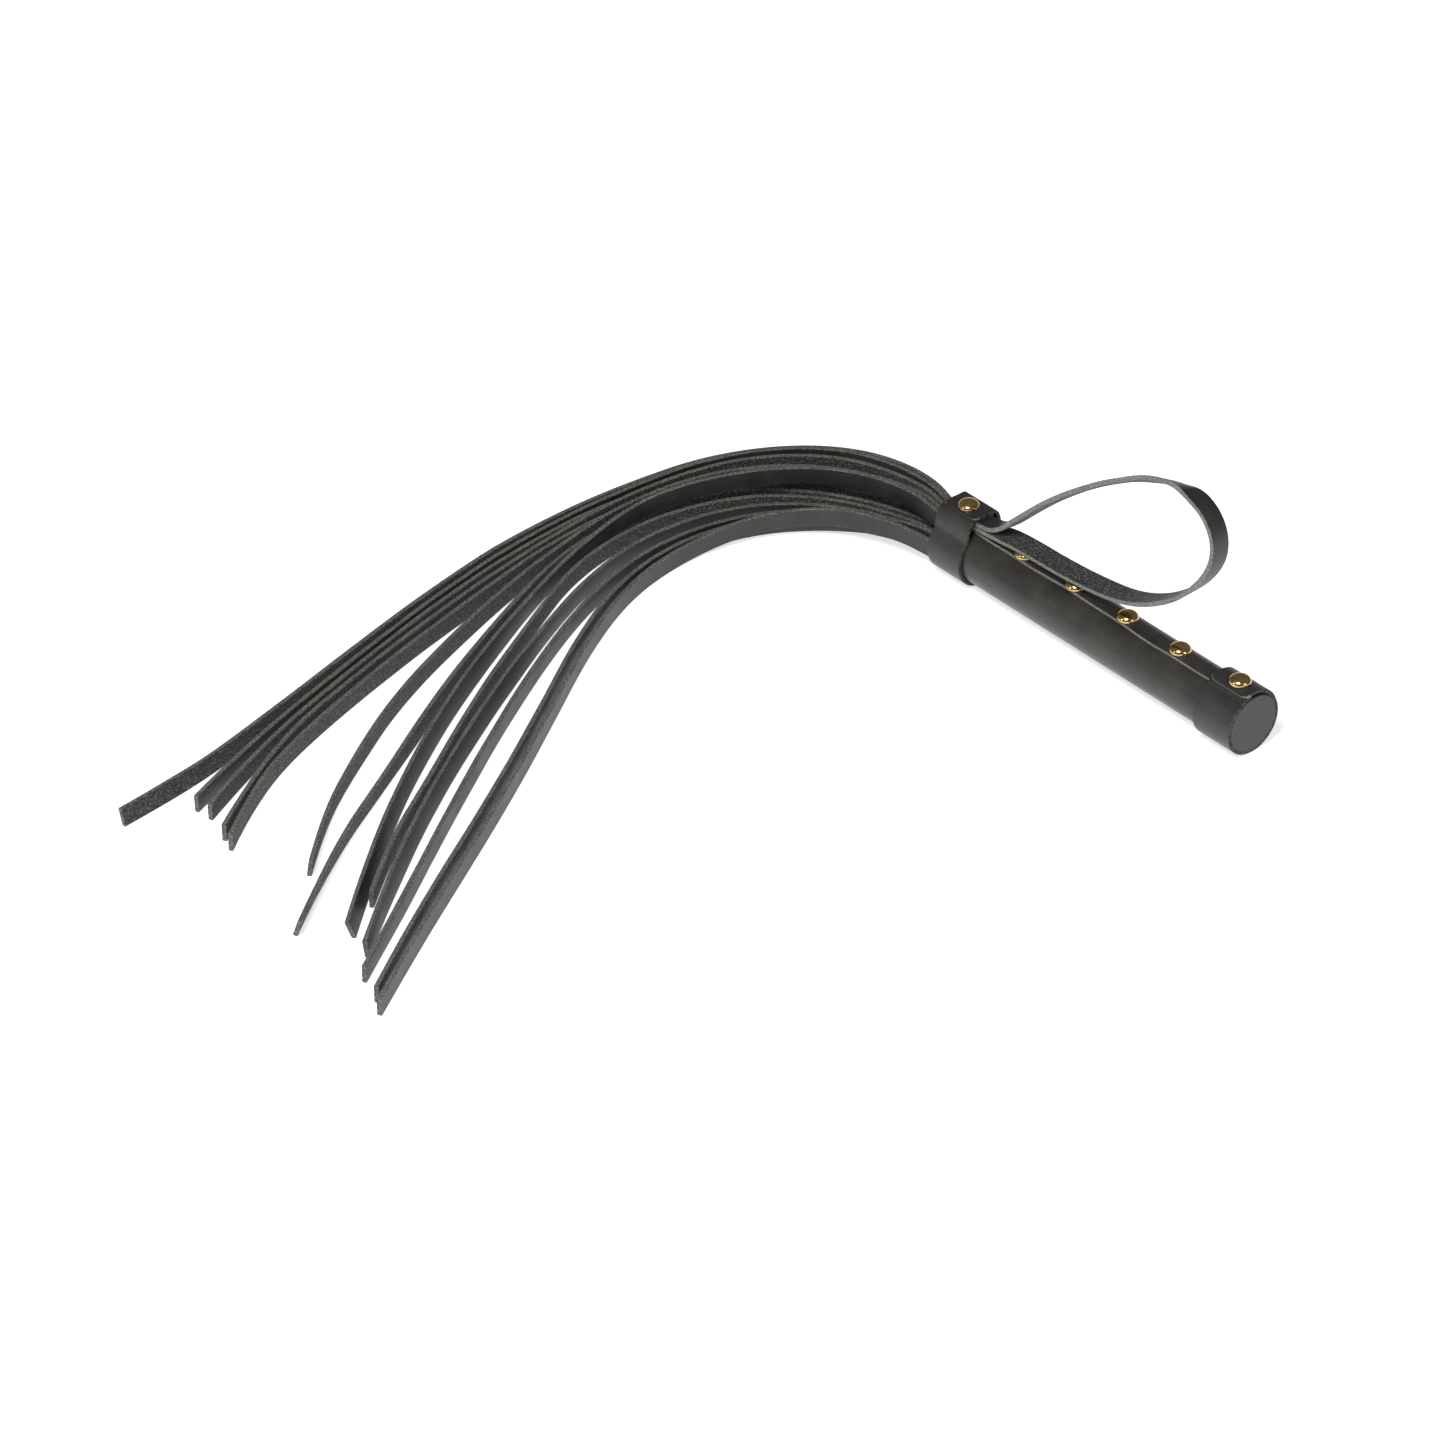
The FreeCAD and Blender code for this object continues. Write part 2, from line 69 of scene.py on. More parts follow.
GRIP_RADIUS = high("grip_wrap").y                  # outside of the wrap
WRAP_FRONT = low("grip_wrap").x                    # front end of the wrap, under the collar
WRAP_BACK = high("grip_wrap").x
LAP_RADIUS = high("grip_wrap").z                   # on top of the wrap's lapped edge
MOUTH = low("front_collar").x                      # where the falls come out
FRONT_COLLAR_BACK = high("front_collar").x
END_COLLAR_FRONT = low("end_collar").x
COLLAR_RADIUS = high("front_collar").y
FLOOR = low("front_collar").z
WRAP_LEATHER = GRIP_RADIUS - high("handle_core").y
COLLAR_LEATHER = COLLAR_RADIUS - GRIP_RADIUS
STRAP_WIDTH = high("wrist_loop").y - low("wrist_loop").y
STRAP_LEATHER = high("loop_end_lower").z - low("loop_end_lower").z
STRAP_LOW = (high("loop_end_lower").z + low("loop_end_lower").z) / 2
STRAP_HIGH = (high("loop_end_upper").z + low("loop_end_upper").z) / 2
STRAP_TOP = high("loop_end_upper").z
FALL_WIDTH = high("fall_root_01").z - low("fall_root_01").z
FALL_LEATHER = high("fall_root_01").y - low("fall_root_01").y

FALL_STEP = 2.0 * MM                               # between the cross sections of a fall
STRAP_STEP = 1.6 * MM
STRAP_TUCK = 12                                    # mm that the strap runs in past the wrap's end
STRIP_BEVEL = 0.16                                 # of a strip's thickness
BAND_BEVEL = 0.3 * MM
BAND_COLUMNS = 24                                  # across the length of a collar
NAIL_HEIGHT = 3.0 * MM                             # from the seat to the top of the dome
NAIL_RIM = 0.2 * MM                                # how far the rim reaches below the seat
SHANK_RADIUS = 0.9 * MM

# ---------------------------------------------------------------- routes, as in the part's source

START = MOUTH / MM - 1.2
LIES = FLOOR / MM + FALL_WIDTH / MM / 2
FALL_ROUTES = [
    [(START, -8.2, -4.2), (-206, -13, -2.5), (-232, -26, -2.5), (-252, -52, -6),
     (-258, -88, LIES), (-250, -124, LIES), (-228, -165, LIES), (-195, -213, LIES),
     (-157, -272, LIES), (-122, -331, LIES), (-93, -376, LIES)],
    [(START, -5.85, -0.9), (-206, -9.5, -3.3), (-235, -24, -8.5), (-255, -49, LIES),
     (-262, -87, LIES), (-254, -126, LIES), (-232, -167, LIES), (-199, -215, LIES),
     (-162, -273, LIES), (-128, -330, LIES), (-100, -372, LIES)],
    [(START, -3.5, -6.6), (-207, -5.5, -7.8), (-238, -20, -10), (-259, -47, LIES),
     (-267, -87, LIES), (-260, -127, LIES), (-242, -168, LIES), (-212, -220, LIES),
     (-172, -281, LIES), (-136, -333, LIES), (-113, -368, LIES)],
    [(START, -1.15, -6.9), (-207, -2.5, -8), (-242, -17, -10), (-266, -45, LIES),
     (-275, -86, LIES), (-268, -128, LIES), (-248, -172, LIES), (-219, -226, LIES),
     (-182, -285, LIES), (-149, -329, LIES), (-125, -358, LIES)],
    [(START, 1.2, -7), (-208, 0.5, -8.2), (-246, -13, -10), (-273, -42, LIES),
     (-284, -85, LIES), (-278, -129, LIES), (-256, -171, LIES), (-228, -222, LIES),
     (-194, -274, LIES), (-171, -311, LIES), (-149, -337, LIES)],
    [(START, -3.5, 6.4), (-210, 1.5, 6.2), (-247, -11, 4.6), (-272, -43, 3.5),
     (-288, -83, -1), (-283, -127, -8), (-265, -172, LIES), (-238, -224, LIES),
     (-204, -277, LIES), (-166, -325, LIES), (-139, -355, LIES)],
    [(START, 3.55, -6.6), (-208, 4.5, -8), (-249, -10, -10), (-279, -40, LIES),
     (-292, -84, LIES), (-288, -128, LIES), (-269, -174, LIES), (-243, -227, LIES),
     (-211, -281, LIES), (-182, -332, LIES), (-153, -370, LIES)],
    [(START, -1.15, 6.9), (-209, 5.5, 4.6), (-251, -7, 1.5), (-282, -38, -1.5),
     (-296, -83, -6), (-292, -130, LIES), (-277, -181, LIES), (-252, -244, LIES),
     (-224, -290, LIES), (-202, -321, LIES), (-181, -343, LIES)],
    [(START, 5.9, -6), (-209, 8.5, -7.2), (-252, -5, -9.6), (-285, -36, LIES),
     (-299, -83, LIES), (-296, -132, LIES), (-285, -180, LIES), (-270, -240, LIES),
     (-250, -302, LIES), (-232, -335, LIES), (-215, -357, LIES)],
    [(START, 1.2, 7), (-211, 8.5, 6), (-256, -1, 2.5), (-288, -33, -2),
     (-302, -82, -7.5), (-299, -133, LIES), (-289, -185, LIES), (-273, -247, LIES),
     (-253, -310, LIES), (-222, -355, LIES)],
    [(START, 8.25, -3.6), (-211, 13, -5.2), (-257, 3, -9), (-291, -31, LIES),
     (-305, -81, LIES), (-303, -134, LIES), (-293, -188, LIES), (-276, -251, LIES),
     (-256, -313, LIES), (-237, -351, LIES)],
    [(START, 3.55, 6.4), (-213, 14, 5), (-260, 7, 1), (-294, -28, -3.5),
     (-308, -80, -9), (-307, -136, LIES), (-296, -192, LIES), (-279, -255, LIES),
     (-260, -316, LIES), (-245, -352, LIES)],
    [(START, 6, 5.3), (-216, 18, 4), (-262, 12, -1.5), (-298, -25, -6),
     (-312, -79, LIES), (-311, -138, LIES), (-300, -195, LIES), (-283, -259, LIES),
     (-266, -319, LIES), (-260, -350, LIES), (-257, -380, LIES)],
]
LOOP_FRONT = FRONT_COLLAR_BACK / MM + 2.5
LOOP_LOW = STRAP_LOW / MM
LOOP_HIGH = STRAP_HIGH / MM
LOOP_ROUTE = [
    (LOOP_FRONT, 0, LOOP_LOW), (-149, 0, 16.9), (-135, 0, 18.4), (-112, 0, 18.6),
    (-90, 0, 20.6), (-72, 0, 24), (-56, 0, 31.5), (-42.5, 0, 41.5), (-31.5, 0, 54),
    (-25, 0, 67), (-25.5, 0, 79), (-33, 0, 88.5), (-47, 0, 92), (-66, 0, 86.5),
    (-92, 0, 71.5), (-118, 0, 51.5), (-139, 0, 31), (-149, 0, 20.4),
    (LOOP_FRONT, 0, LOOP_HIGH),
]

# ---------------------------------------------------------------- materials


class Nodes:
    """A shorthand for building one material's node tree."""

    def __init__(self, name):
        self.material = bpy.data.materials.new(name)
        self.material.use_nodes = True
        self.tree = self.material.node_tree
        self.shader = self.tree.nodes["Principled BSDF"]

    def add(self, kind, **values):
        node = self.tree.nodes.new(kind)
        for name, value in values.items():
            if name in node.inputs:
                node.inputs[name].default_value = value
            else:
                setattr(node, name, value)
        return node

    def link(self, source, target):
        self.tree.links.new(source, target)

    def coordinates(self, kind, stretch=(1, 1, 1)):
        place = self.add("ShaderNodeTexCoord")
        mapping = self.add("ShaderNodeMapping")
        mapping.inputs["Scale"].default_value = stretch
        self.link(place.outputs[kind], mapping.inputs["Vector"])
        return mapping.outputs["Vector"]

    def noise(self, place, scale, detail=4.0, roughness=0.55, distortion=0.0):
        noise = self.add("ShaderNodeTexNoise", Scale=scale, Detail=detail,
                         Roughness=roughness, Distortion=distortion)
        self.link(place, noise.inputs["Vector"])
        return noise.outputs["Fac"]

    def cells(self, place, scale):
        voronoi = self.add("ShaderNodeTexVoronoi", Scale=scale, Randomness=1.0)
        self.link(place, voronoi.inputs["Vector"])
        return voronoi.outputs["Distance"]

    def ramp(self, value, stops):
        ramp = self.add("ShaderNodeValToRGB")
        elements = ramp.color_ramp.elements
        while len(elements) < len(stops):
            elements.new(0.5)
        for element, (place, colour) in zip(elements, stops):
            element.position = place
            element.color = (*colour, 1)
        self.link(value, ramp.inputs["Fac"])
        return ramp.outputs["Color"]

    def span(self, value, low_end, high_end, low_value, high_value):
        span = self.add("ShaderNodeMapRange")
        for name, number in (("From Min", low_end), ("From Max", high_end),
                             ("To Min", low_value), ("To Max", high_value)):
            span.inputs[name].default_value = number
        self.link(value, span.inputs["Value"])
        return span.outputs["Result"]

    def mixed(self, share, first, second, blend="MIX"):
        mix = self.add("ShaderNodeMix", data_type="RGBA", blend_type=blend)
        if isinstance(share, float):
            mix.inputs[0].default_value = share
        else:
            self.link(share, mix.inputs[0])
        for socket, colour in ((mix.inputs[6], first), (mix.inputs[7], second)):
            if isinstance(colour, tuple):
                socket.default_value = (*colour, 1)
            else:
                self.link(colour, socket)
        return mix.outputs[2]

    def sum(self, first, second, second_share):
        add = self.add("ShaderNodeMath", operation="MULTIPLY_ADD")
        self.link(second, add.inputs[0])
        add.inputs[1].default_value = second_share
        self.link(first, add.inputs[2])
        return add.outputs[0]

    def bump(self, height, distance, strength=1.0):
        bump = self.add("ShaderNodeBump", Strength=strength, Distance=distance)
        self.link(height, bump.inputs["Height"])
        self.link(bump.outputs["Normal"], self.shader.inputs["Normal"])

    def set(self, **values):
        for name, value in values.items():
            self.shader.inputs[name.replace("_", " ")].default_value = value


def grain_leather(name, dark, light, roughness):
    """Smooth finished leather: fine pores, soft creases and slightly lighter patches."""
    m = Nodes(name)
    place = m.coordinates("Object")
    patches = m.noise(place, 60, detail=5)
    pores = m.cells(place, 1500)
    creases = m.noise(place, 330, detail=6, roughness=0.62, distortion=0.5)
    colour = m.ramp(patches, [(0.32, dark), (0.70, light)])
    # Each pore is painted darker than the leather round it: painted shade in these small hollows.
    pore_shade = m.span(pores, 0.0, 0.5, 0.0, 1.0)
    m.link(m.mixed(pore_shade, tuple(0.62 * c for c in dark), colour),
           m.shader.inputs["Base Color"])
    m.link(m.span(patches, 0.3, 0.75, roughness - 0.06, roughness + 0.09),
           m.shader.inputs["Roughness"])
    m.bump(m.sum(pores, creases, 0.7), 0.10 * MM, 0.55)
    m.set(Specular_IOR_Level=0.5)
    return m.material


def flesh_leather(name):
    """The napped underside: short lighter fibres on a dark dyed ground."""
    m = Nodes(name)
    place = m.coordinates("UV", (1, 1.6, 1))
    nap = m.noise(place, 950, detail=8, roughness=0.78, distortion=0.8)
    clumps = m.noise(place, 260, detail=4)
    ground = m.ramp(nap, [(0.43, (0.004, 0.0045, 0.004)), (0.50, (0.018, 0.019, 0.0165)),
                          (0.55, (0.075, 0.077, 0.069)), (0.61, (0.24, 0.24, 0.22))])
    shade = m.ramp(clumps, [(0.3, (0.72, 0.72, 0.72)), (0.72, (1.15, 1.15, 1.12))])
    m.link(m.mixed(1.0, ground, shade, "MULTIPLY"), m.shader.inputs["Base Color"])
    m.bump(m.sum(nap, clumps, 0.6), 0.35 * MM, 0.8)
    m.set(Roughness=0.88, Specular_IOR_Level=0.25, Sheen_Weight=0.18, Sheen_Roughness=0.55)
    return m.material


def cut_edge(name, dark, light):
    """Raw cut edge: pale fibres broken up by the dark dye; for the collar rims its colours are
    darkened further as painted shade.
    """
    m = Nodes(name)
    place = m.coordinates("UV", (1, 3.2, 1))
    fibres = m.noise(place, 900, detail=7, roughness=0.7, distortion=0.4)
    runs = m.noise(place, 90, detail=3)
    pale = m.ramp(fibres, [(0.43, dark), (0.57, light)])
    tone = m.ramp(runs, [(0.3, (0.78, 0.78, 0.77)), (0.7, (1.08, 1.07, 1.05))])
    m.link(m.mixed(1.0, pale, tone, "MULTIPLY"), m.shader.inputs["Base Color"])
    m.bump(fibres, 0.18 * MM, 0.7)
    m.set(Roughness=0.8, Specular_IOR_Level=0.25)
    return m.material


def brass(name):
    """Polished brass with hairlines and a little tarnish."""
    m = Nodes(name)
    place = m.coordinates("Object")
    tarnish = m.noise(place, 700, detail=6)
    hairlines = m.noise(m.coordinates("Object", (1, 5, 1)), 2600, detail=3)
    m.link(m.ramp(tarnish, [(0.3, (0.40, 0.25, 0.09)), (0.62, (0.72, 0.50, 0.21))]),
           m.shader.inputs["Base Color"])
    m.link(m.span(hairlines, 0.3, 0.7, 0.13, 0.24), m.shader.inputs["Roughness"])
    m.bump(hairlines, 0.01 * MM, 0.3)
    m.set(Metallic=1.0)
    return m.material


def turned_wood(name):
    """Plain beech for the core, with its grain along the handle."""
    m = Nodes(name)
    place = m.coordinates("Object", (1, 9, 9))
    grain = m.noise(place, 55, detail=7, roughness=0.6, distortion=1.2)
    m.link(m.ramp(grain, [(0.3, (0.32, 0.19, 0.09)), (0.65, (0.56, 0.38, 0.21))]),
           m.shader.inputs["Base Color"])
    m.bump(grain, 0.08 * MM, 0.4)
    m.set(Roughness=0.6)
    return m.material


GRIP = grain_leather("grip_leather", (0.022, 0.020, 0.018), (0.050, 0.045, 0.038), 0.38)
COLLAR = grain_leather("collar_leather", (0.020, 0.019, 0.018), (0.042, 0.040, 0.037), 0.42)
STRAP = grain_leather("strap_leather", (0.020, 0.018, 0.016), (0.044, 0.040, 0.034), 0.42)
GRAIN = grain_leather("fall_grain", (0.018, 0.0165, 0.015), (0.042, 0.039, 0.035), 0.47)
FLESH = flesh_leather("fall_flesh")
EDGE = cut_edge("fall_cut_edge", (0.030, 0.029, 0.027), (0.25, 0.245, 0.23))
PALE_EDGE = cut_edge("pale_cut_edge", (0.10, 0.098, 0.092), (0.34, 0.335, 0.32))
# The collar rims: partly the edge's own dark dye, partly painted shade of the gap where a collar
# meets the grip.
SHADED_RIM_EDGE = cut_edge("dyed_and_shaded_rim_edge", (0.026, 0.025, 0.023), (0.10, 0.097, 0.09))
BRASS = brass("brass_dome")
WOOD = turned_wood("core_wood")

# ---------------------------------------------------------------- strips that follow a route


def route_points(route):
    """Points along the curve that a route controls, read from the curve itself."""
    curve = bpy.data.curves.new("route", "CURVE")
    curve.dimensions = "3D"
    curve.resolution_u = 14
    spline = curve.splines.new("NURBS")
    spline.points.add(len(route) - 1)
    for point, place in zip(spline.points, route):
        point.co = (*(MM * Vector(place)), 1)
    spline.order_u = 3
    spline.use_endpoint_u = True
    holder = bpy.data.objects.new("route", curve)
    bpy.context.scene.collection.objects.link(holder)
    bpy.context.view_layer.update()
    mesh = bpy.data.meshes.new_from_object(holder)
    points = [vertex.co.copy() for vertex in mesh.vertices]
    bpy.data.objects.remove(holder)
    bpy.data.meshes.remove(mesh)
    bpy.data.curves.remove(curve)
    return points


def path_length(points):
    return sum((b - a).length for a, b in zip(points[:-1], points[1:]))


TINY = 1e-9


def spaced(points, step):
    """The same path with evenly spaced points."""
    total = path_length(points)
    count = max(2, round(total / step))
    result = [points[0].copy()]
    target = total / count
    travelled = 0.0
    for first, second in zip(points[:-1], points[1:]):
        run = (second - first).length
        while len(result) < count and travelled + run >= target * len(result) - TINY:
            share = (target * len(result) - travelled) / run
            result.append(first.lerp(second, share))
        travelled += run
    result.append(points[-1].copy())
    return result


def add_mesh(name, vertices, faces, slots=None, materials=(), uvs=None, smooth=True):
    mesh = bpy.data.meshes.new(name)
    mesh.from_pydata([tuple(v) for v in vertices], [], faces)
    for material in materials:
        mesh.materials.append(material)
    if slots is not None:
        mesh.polygons.foreach_set("material_index", slots)
    if uvs is not None:
        layer = mesh.uv_layers.new(name="UVMap")
        for polygon, corners in zip(mesh.polygons, uvs):
            for loop, uv in zip(polygon.loop_indices, corners):
                layer.data[loop].uv = uv
    mesh.polygons.foreach_set("use_smooth", [smooth] * len(mesh.polygons))
    mesh.validate()
    mesh.update()
    obj = bpy.data.objects.new(name, mesh)
    bpy.context.scene.collection.objects.link(obj)
    return obj


def strip(name, points, upright, width, leather, faces_of, shape=None):
    """A strip of leather along points.

    upright(share) is the way its width points; faces_of holds the materials of its two
    sides and its cut edges; shape(share) gives (width, thickness) factors and the
    curl of the strip across its width."""
    bevel = STRIP_BEVEL * leather
    half = leather / 2
    edge = width / 2
    across = [-1, -0.5, 0, 0.5, 1]
    profile = [((edge - bevel) * v, half) for v in across]
    profile += [(edge, half - bevel), (edge, 0), (edge, -half + bevel)]
    profile += [((edge - bevel) * v, -half) for v in reversed(across)]
    profile += [(-edge, -half + bevel), (-edge, 0), (-edge, half - bevel)]
    sides = [0] * 4 + [2] * 4 + [1] * 4 + [2] * 4
    count = len(profile)
    vertices, faces, slots, uvs = [], [], [], []
    around = [0.0]
    for index in range(count):
        first = Vector(profile[index])
        second = Vector(profile[(index + 1) % count])
        around.append(around[-1] + (second - first).length)
    travelled = 0.0
    places = []
    last = len(points) - 1
    for index, point in enumerate(points):
        before = points[max(0, index - 1)]
        after = points[min(last, index + 1)]
        tangent = (after - before).normalized()
        share = index / last
        up = upright(share)
        side = tangent.cross(up).normalized()
        up = side.cross(tangent).normalized()
        wide, thick, curl = shape(share) if shape else (1.0, 1.0, 0.0)
        for v, n in profile:
            bow = curl * (1 - (v / edge) ** 2)
            vertices.append(point + up * (v * wide) + side * (n * thick + bow))
        if index:
            travelled += (point - points[index - 1]).length
        places.append(travelled)
    for ring in range(last):
        for index in range(count):
            following = (index + 1) % count
            a = ring * count + index
            b = ring * count + following
            faces.append((a, a + count, b + count, b))
            slots.append(sides[index])
            uvs.append(((places[ring], around[index]), (places[ring + 1], around[index]),
                        (places[ring + 1], around[index + 1]),
                        (places[ring], around[index + 1])))
    for start in (0, last * count):
        ring = list(range(start, start + count))
        if start == 0:
            ring.reverse()
        middle = len(vertices)
        centre = sum((vertices[i] for i in ring), Vector()) / count
        vertices.append(centre)
        for index in range(count):
            a, b = ring[index], ring[(index + 1) % count]
            faces.append((a, middle, b))
            slots.append(2)
            uvs.append(tuple((vertices[i] - centre).yz.to_tuple() for i in (a, middle, b)))
    obj = add_mesh(name, vertices, faces, slots, faces_of, uvs)
    obj.data.set_sharp_from_angle(angle=math.radians(40))
    return obj


def eased(share, stops):
    """A smooth value through (share, value) stops."""
    if share <= stops[0][0]:
        return stops[0][1]
    for (a, first), (b, second) in zip(stops[:-1], stops[1:]):
        if share <= b:
            t = (share - a) / (b - a)
            t = t * t * (3 - 2 * t)
            return first + (second - first) * t
    return stops[-1][1]


GRAIN_TOWARDS_NEAR_SIDE = {1, 2, 3, 4, 6, 12}       # the falls whose grain faces the camera
FALL_SWAY = 1.2                                    # degrees of lean that come and go on every fall

# Leans in degrees at shares of a fall's length.
FALL_LEANS = {
    4: [(0.48, 0), (0.62, 16), (0.86, 18), (1.0, 8)],
    6: [(0.50, 0), (0.62, 16), (1.0, 22)],
    7: [(0.72, 0), (0.86, -10), (1.0, -17)],
    8: [(0.80, 0), (1.0, -8)],
    13: [(0.70, 0), (1.0, 14)],
}


def make_fall(number, route):
    """One fall, from its root under the front collar to its cut tip."""
    root = (WRAP_FRONT / MM, route[0][1], route[0][2])
    points = spaced(route_points([root] + route), FALL_STEP)
    last = len(points) - 1
    leans = FALL_LEANS.get(number, [(0.0, 0)])

    def upright(share):
        """Straight up, leaned about the fall's own direction in plan."""
        sway = FALL_SWAY * math.sin(9 * share + 0.35 * number)
        angle = math.radians(eased(share, leans) + sway)
        index = int(share * last)
        ahead = points[min(last, index + 1)] - points[max(0, index - 1)]
        ahead.z = 0
        return Quaternion(ahead.normalized(), angle) @ Vector((0, 0, 1))

    # A leaning fall is less high, so its middle drops and its lower edge stays down.
    for index, point in enumerate(points):
        lean = math.radians(eased(index / last, leans))
        point.z -= FALL_WIDTH / 2 * (1 - math.cos(lean))

    def shape(share):
        """Slight changes of width and thickness along the fall."""
        ripple = 0.012 * math.sin(61 * share + number) + 0.010 * math.sin(23 * share)
        return 1.0 + ripple, 1.0 + 0.04 * math.sin(37 * share + 2 * number), 0.0

    near, far = (GRAIN, FLESH) if number in GRAIN_TOWARDS_NEAR_SIDE else (FLESH, GRAIN)
    obj = strip(f"fall_leather_{number:02d}", points, upright, FALL_WIDTH, FALL_LEATHER,
                (far, near, EDGE), shape)
    node = f"fall_{number:02d}"
    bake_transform(obj)
    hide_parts(node, f"fall_root_{number:02d}")


# Rolls of the wrist strap about its own length, in degrees at shares of the length.
STRAP_ROLLS = [(0.0, 0), (0.055, 0), (0.10, -18), (0.22, -18), (0.36, -4), (0.45, 0),
               (0.545, 0), (0.585, 30), (0.62, 32), (0.68, 20), (0.76, 13), (0.88, 9),
               (0.94, 0)]


def make_strap():
    """The wrist loop, one strap from under the collar round and back."""
    inner_end = WRAP_FRONT / MM - STRAP_TUCK
    route = [(inner_end, 0, LOOP_LOW)] + LOOP_ROUTE + [(inner_end, 0, LOOP_HIGH)]
    points = spaced(route_points(route), STRAP_STEP)

    def upright(share):
        roll = math.radians(eased(share, STRAP_ROLLS))
        return Vector((0, math.cos(roll), -math.sin(roll)))

    obj = strip("wrist_strap", points, upright, STRAP_WIDTH, STRAP_LEATHER,
                (FLESH, STRAP, PALE_EDGE))
    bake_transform(obj)
    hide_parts("wrist_loop", "loop_end_lower", "loop_end_upper")


# ---------------------------------------------------------------- handle


END_FACE_UV = ((0, 0), (0, MM), (MM, MM), (MM, 0))   # one small patch for the ends' faces


def ring_point(x, angle, radius):
    """A point round the handle; the angle runs from straight up towards -Y."""
    turn = math.radians(angle)
    return Vector((x, -radius * math.sin(turn), radius * math.cos(turn)))


WRAP_STEP = LAP_RADIUS - GRIP_RADIUS               # how far the wrap's lap stands out
LAP_ANGLE = 18.5                                   # degrees from the top to the lap's cut edge
LAP_SLANT = 6.5                                    # degrees that the edge drifts over the grip


def lap_edge(share):
    """The angle of the lap's cut edge, which wanders a little along the grip."""
    slant = LAP_ANGLE + LAP_SLANT * (share - 0.45)
    return slant + 1.6 * math.sin(11 * share) + 0.7 * math.sin(31 * share)


def make_grip():
    """The wrap: one turn of leather whose edge laps over along the top."""
    rings = 130
    steps = 120
    sweep = 355.6                                  # degrees between the lap's two edges
    arc = 0.65 * MM                                # between two columns, round the wrap
    inner = GRIP_RADIUS - WRAP_LEATHER
    length = WRAP_BACK - WRAP_FRONT
    vertices, faces, slots, uvs = [], [], [], []

    def section(share):
        """One ring's place and its (angle, radius) outline, from the seam to the cut edge."""
        x = WRAP_FRONT + share * length
        edge = lap_edge(share)
        outer = [(edge, GRIP_RADIUS - 0.25 * MM), (edge + 1.2, GRIP_RADIUS - 0.05 * MM)]
        for index in range(1, steps):
            turn = index / steps
            angle = edge + 1.2 + sweep * turn
            rise = eased(turn, [(0.0, 0), (0.80, 0), (0.93, 1.0), (1.0, 1.06)])
            outer.append((angle, GRIP_RADIUS + WRAP_STEP * rise))
        outer += [(edge + 358.2, LAP_RADIUS + 0.02 * MM), (edge + 359.2, LAP_RADIUS - 0.18 * MM),
                  (edge + 359.6, LAP_RADIUS - 0.5 * WRAP_STEP)]
        return x, outer

    for ring in range(rings + 1):
        x, outer = section(ring / rings)
        vertices += [ring_point(x, angle, radius) for angle, radius in outer]
        vertices += [ring_point(x, angle, inner) for angle, _ in outer]
    count = len(section(0)[1])
    edge_from = count - 3
    for ring in range(rings):
        for index in range(count):
            following = (index + 1) % count
            a, b = ring * 2 * count + index, ring * 2 * count + following
            c, d = b + 2 * count, a + 2 * count
            faces.append((a, b, c, d))
            slots.append(1 if index >= edge_from else 0)
            u0, u1 = ring / rings * length, (ring + 1) / rings * length
            v0, v1 = index * arc, (index + 1) * arc
            uvs.append(((u0, v0), (u0, v1), (u1, v1), (u1, v0)))
            faces.append((a + count, d + count, c + count, b + count))
            slots.append(0)
            uvs.append(((u0, v0), (u1, v0), (u1, v1), (u0, v1)))
    for ring in (0, rings):
        for index in range(count):
            following = (index + 1) % count
            a, b = ring * 2 * count + index, ring * 2 * count + following
            quad = (a, a + count, b + count, b)
            faces.append(quad if ring == 0 else tuple(reversed(quad)))
            slots.append(1)
            uvs.append(END_FACE_UV)
    obj = add_mesh("grip_leather_wrap", vertices, faces, slots, (GRIP, PALE_EDGE), uvs)
    obj.data.set_sharp_from_angle(angle=math.radians(35))
    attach(obj, "handle")
    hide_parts("grip_wrap")


